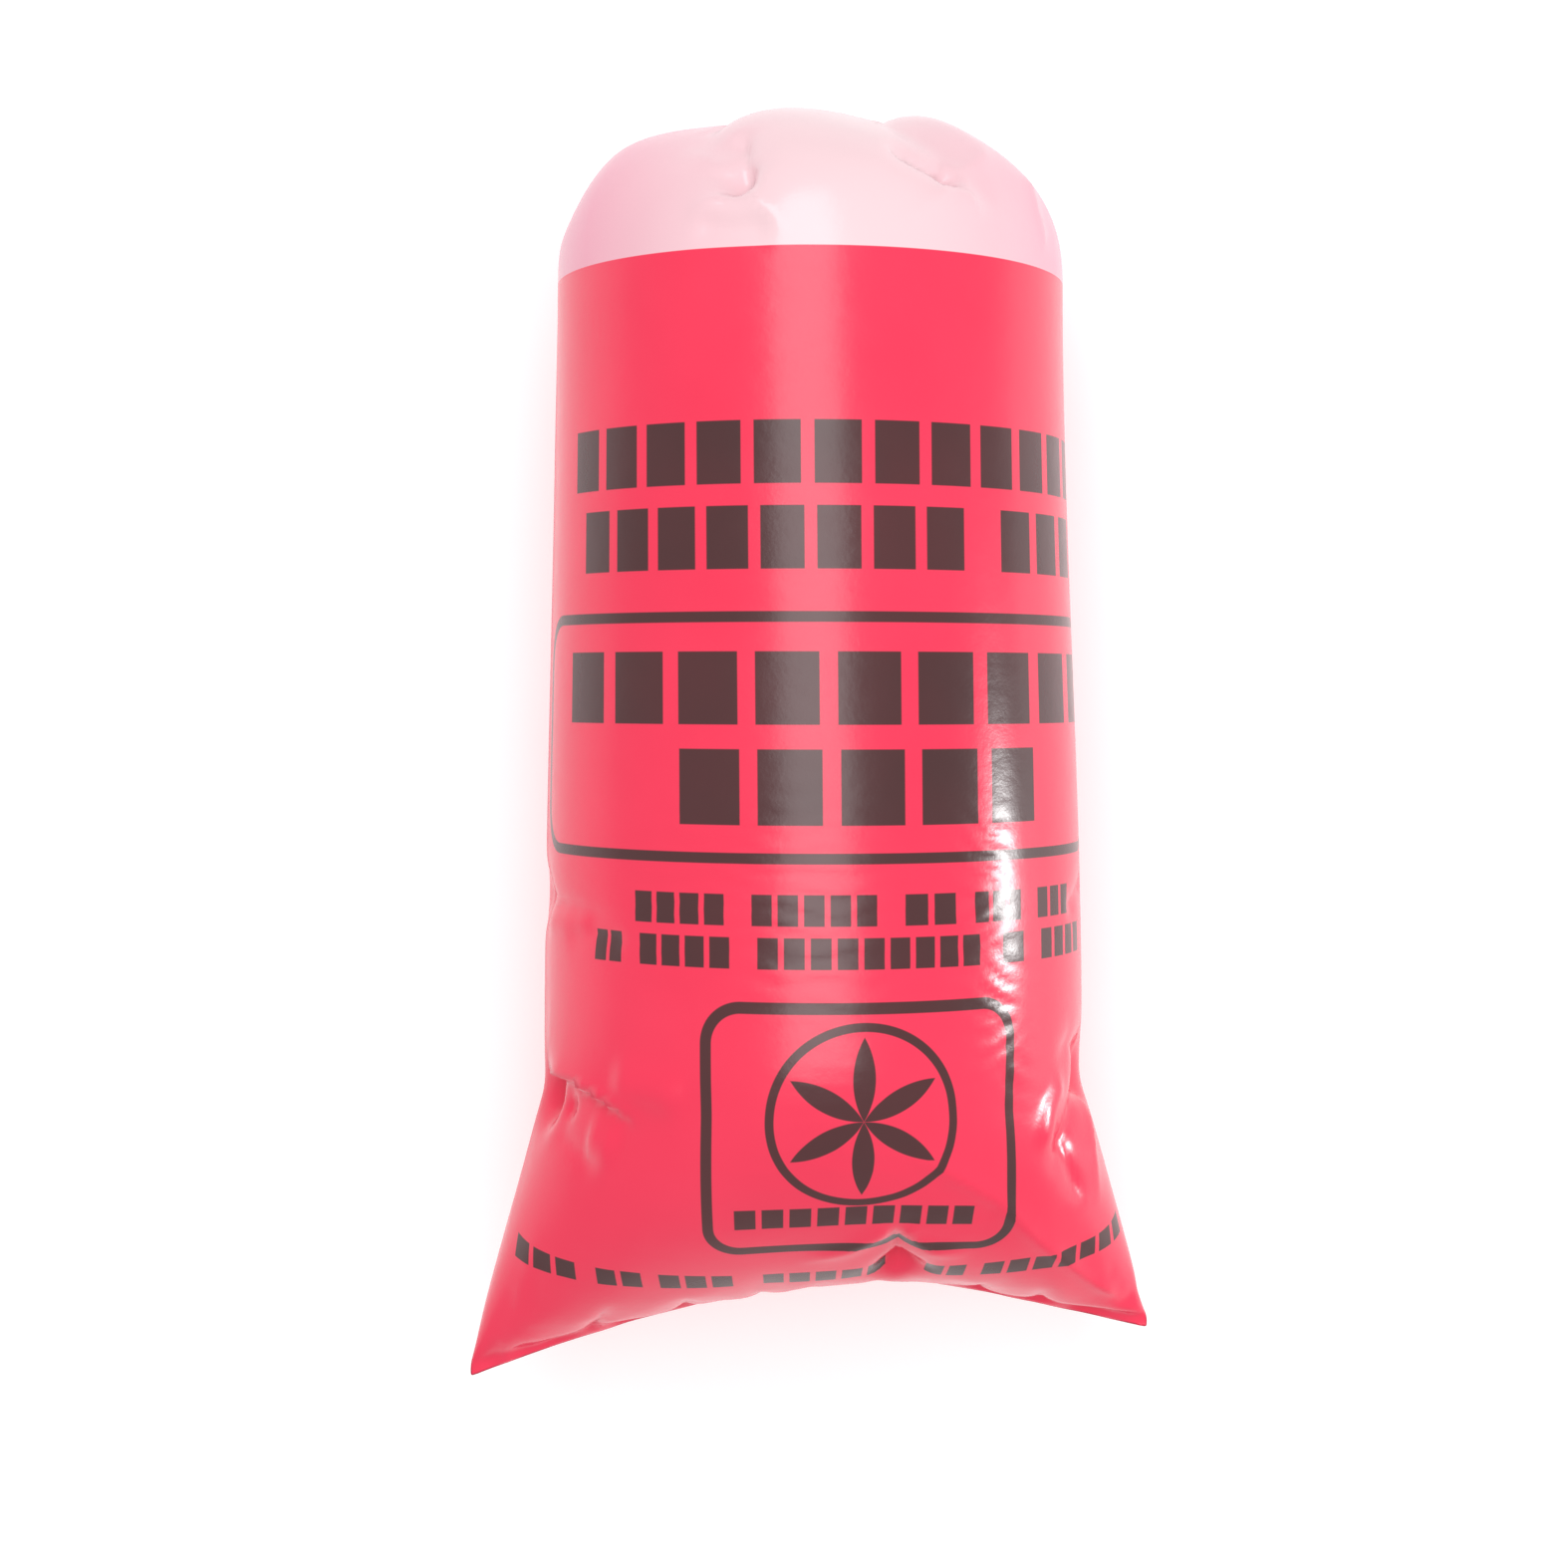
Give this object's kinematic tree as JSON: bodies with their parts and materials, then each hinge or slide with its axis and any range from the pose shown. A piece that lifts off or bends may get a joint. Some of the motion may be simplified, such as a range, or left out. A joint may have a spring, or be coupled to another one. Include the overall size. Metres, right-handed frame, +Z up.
{
  "type": "biohazard waste bag",
  "caption": "Air-filled waste bag of thin plastic film with a heat-sealed bottom edge and a gathered, tied neck, lying on its back.",
  "frame": {"origin": "middle of the bounding box, at the floor that the bag lies on", "axes": "+Y along the bag from its sealed bottom to its tied neck, +Z up through its front, +X to the right of the front"},
  "size_m": [0.262, 0.4908, 0.1949],
  "materials": {
    "film": "glossy thin film, red with an unprinted whitish band at the neck and plain black print on the front",
    "tie": "matte natural beige"
  },
  "bodies": {
    "root": {"bag": "film", "neck_tie": "tie"}
  },
  "joints": []
}
